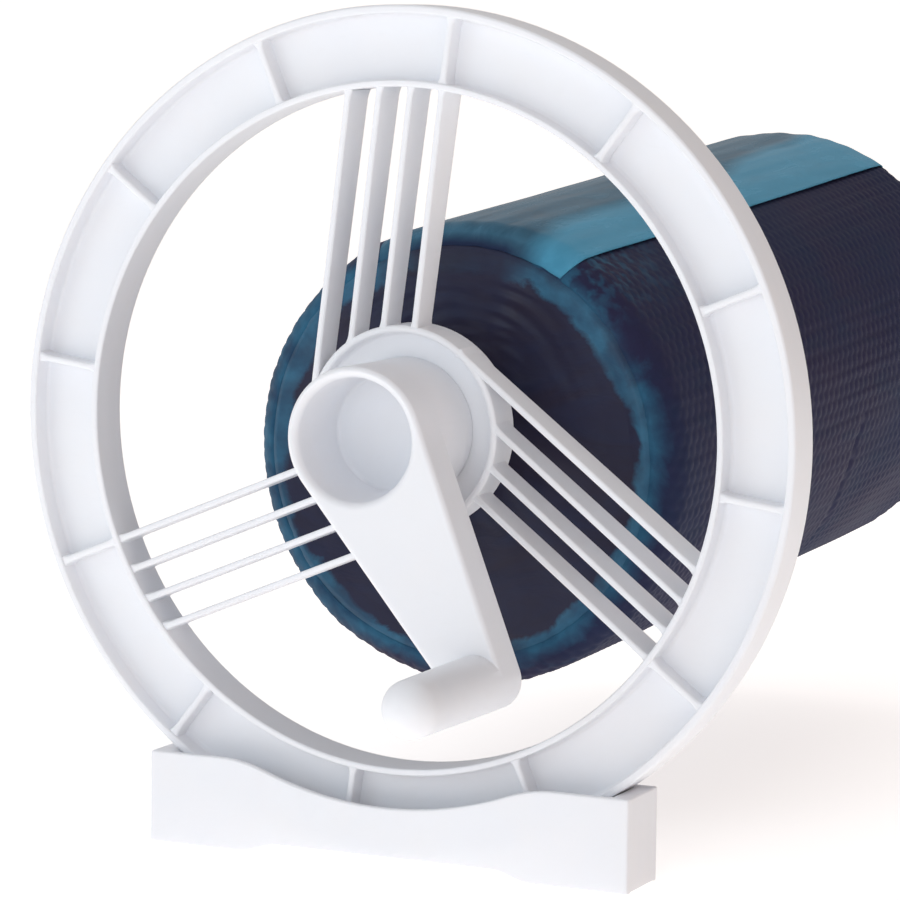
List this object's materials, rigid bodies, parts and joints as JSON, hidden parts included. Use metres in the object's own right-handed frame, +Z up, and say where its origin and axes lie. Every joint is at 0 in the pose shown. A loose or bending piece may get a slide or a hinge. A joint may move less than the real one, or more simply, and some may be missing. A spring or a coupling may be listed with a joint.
{
  "type": "pool cover reel",
  "caption": "Reel for a pool's bubble cover: round spoked end wheels in cradle feet, a telescopic tube, a crank with a peg grip and a wound blue cover.",
  "frame": {"origin": "on the ground, at the middle of the reel's overall length and width", "axes": "+Z up, +Y along the tube from the crank end to the far end, +X to the right seen from the crank"},
  "size_m": [0.4996, 1.899, 0.5093],
  "materials": {
    "white_plastic": "satin moulded polypropylene, slightly cool white",
    "bearing_plastic": "natural nylon, matt",
    "aluminium": "drawn tube, satin anodised",
    "steel": "zinc plated",
    "cover_film": "dark blue bubble film, glossy skin with rows of small bubbles"
  },
  "bodies": {
    "near_stand": {"near_foot": "white_plastic"},
    "near_end_wheel": {"near_wheel": "white_plastic", "near_bush": "bearing_plastic"},
    "reel": {"crank": "white_plastic", "crank_screw_1": "steel", "crank_screw_2": "steel", "outer_tube": "aluminium", "tube_collar": "bearing_plastic", "collar_screw_1": "steel", "collar_screw_2": "steel", "cover_roll": "cover_film"},
    "tube_extension": {"inner_tube": "aluminium", "far_axle_plug": "bearing_plastic", "far_plug_screw_1": "steel", "far_plug_screw_2": "steel", "far_cap": "white_plastic", "far_cap_screw": "steel"},
    "far_stand": {"far_foot": "white_plastic"},
    "far_end_wheel": {"far_wheel": "white_plastic", "far_bush": "bearing_plastic"}
  },
  "joints": [
    {"name": "near_wheel_turn", "type": "hinge", "parent": "near_stand", "child": "near_end_wheel", "pos_m": [0, -0.77715, 0.2595], "axis": [0, 1, 0], "continuous": true},
    {"name": "reel_turn", "type": "hinge", "parent": "near_end_wheel", "child": "reel", "pos_m": [0, -0.76215, 0.2595], "axis": [0, 1, 0], "continuous": true},
    {"name": "tube_slide", "type": "slide", "parent": "reel", "child": "tube_extension", "axis": [0, 1, 0], "range_m": [-0.5, 0.25]},
    {"name": "far_stand_slide", "type": "slide", "parent": "near_stand", "child": "far_stand", "axis": [0, 1, 0], "range_m": [-0.5, 0.25]},
    {"name": "far_wheel_turn", "type": "hinge", "parent": "far_stand", "child": "far_end_wheel", "pos_m": [0, 0.92285, 0.2595], "axis": [0, 1, 0], "continuous": true}
  ],
  "couplings": [
    {"joint": "tube_slide", "follows": "far_stand_slide", "ratio": 1}
  ]
}
